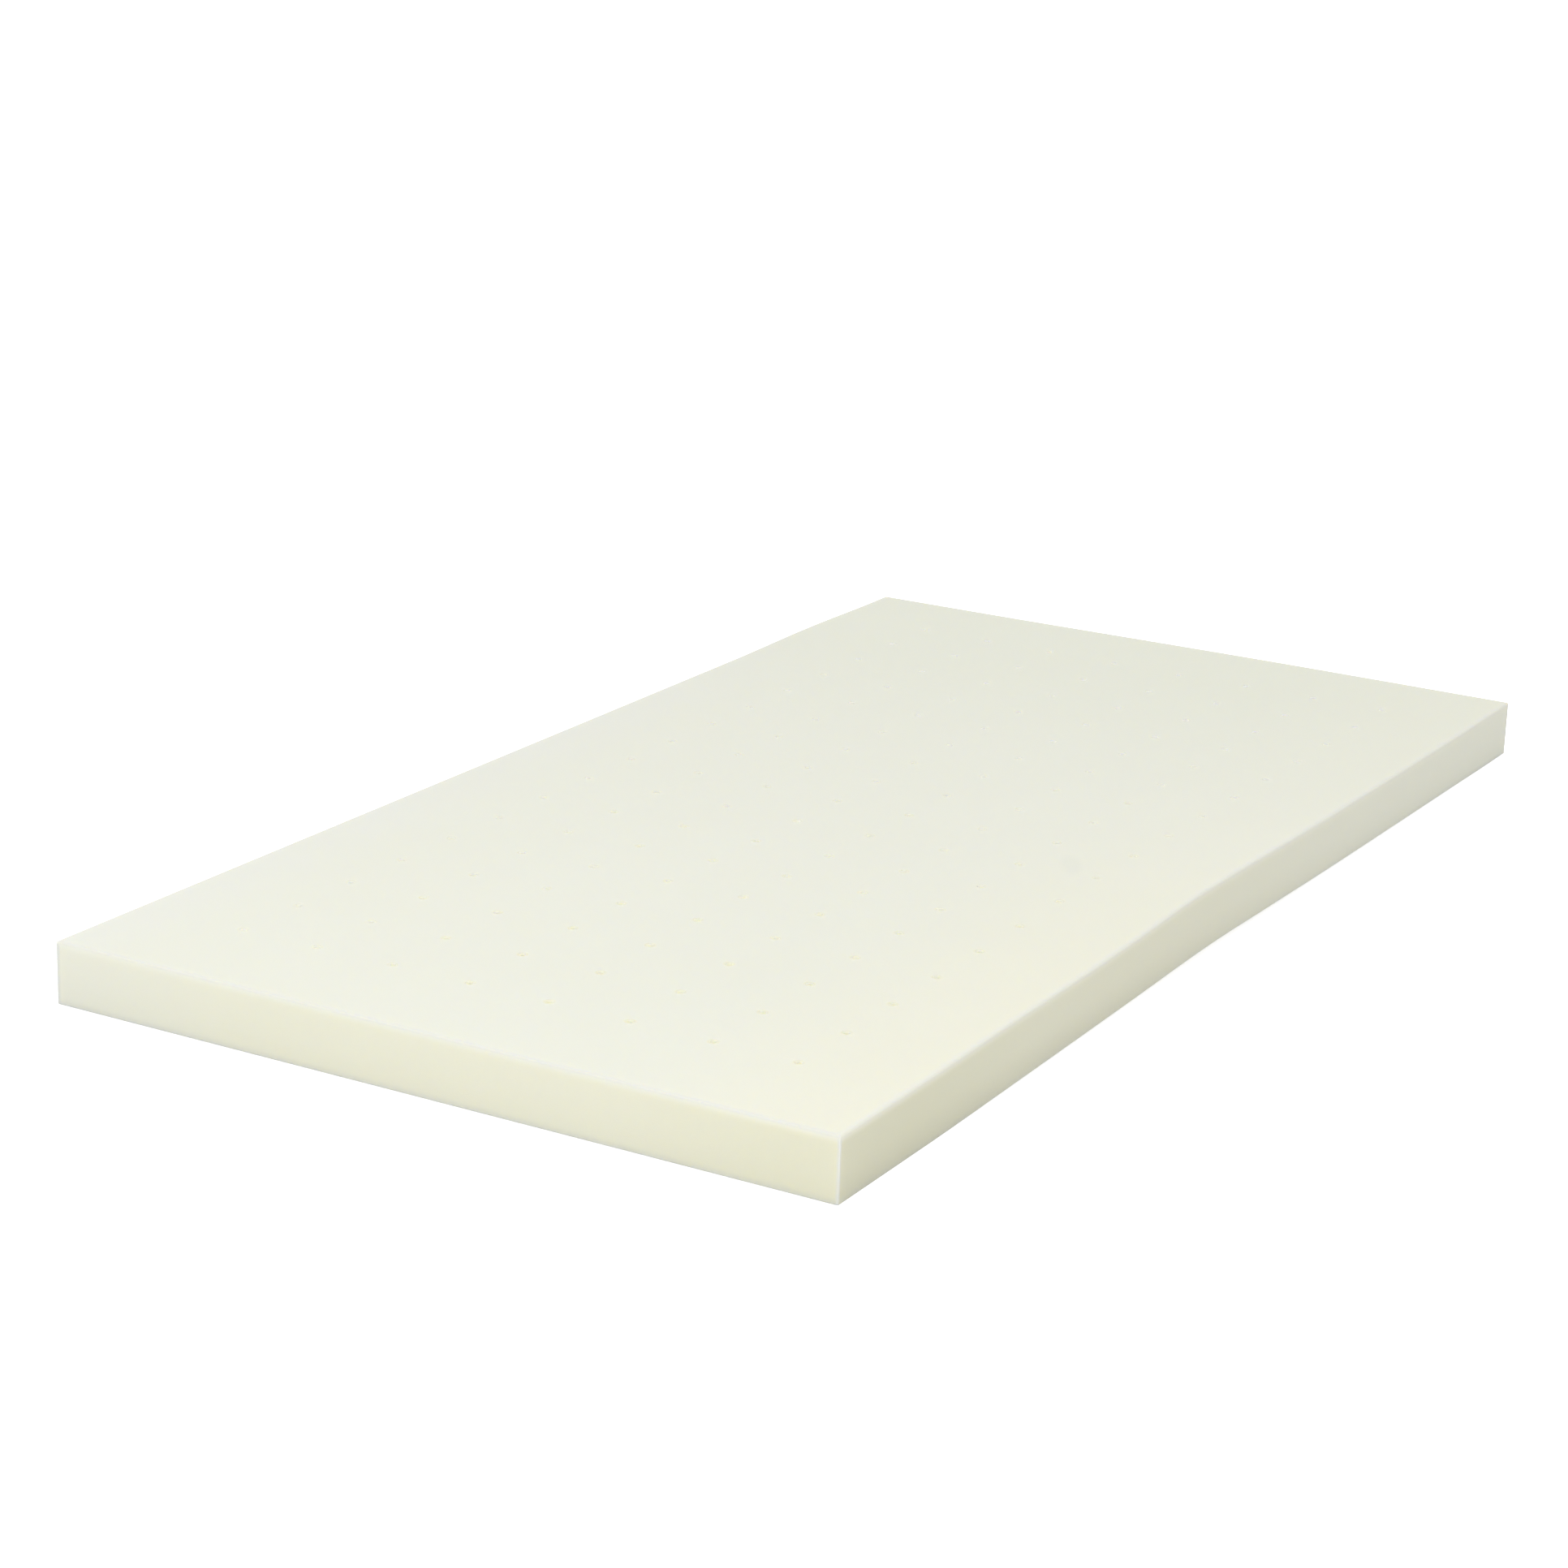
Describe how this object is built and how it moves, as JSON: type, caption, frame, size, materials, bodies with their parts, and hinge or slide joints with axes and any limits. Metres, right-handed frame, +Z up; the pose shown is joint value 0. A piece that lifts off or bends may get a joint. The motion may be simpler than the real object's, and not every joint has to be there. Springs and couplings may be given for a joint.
{
  "type": "mattress topper",
  "caption": "Flat mattress topper: a slab of cream foam with softened edges and a grid of vents punched through it, a long side held up slightly by the memory of a fold.",
  "frame": {"origin": "on the surface it lies on, under the middle of the slab", "axes": "+Z up; +Y along the bed, from the foot end to the head end; +X across it, towards the long edge that stands up slightly"},
  "size_m": [0.99, 1.905, 0.0849],
  "materials": {
    "foam": "matte open-cell foam, cream, with slightly yellower cut sides"
  },
  "bodies": {
    "root": {"foam_slab": "foam"}
  },
  "joints": []
}
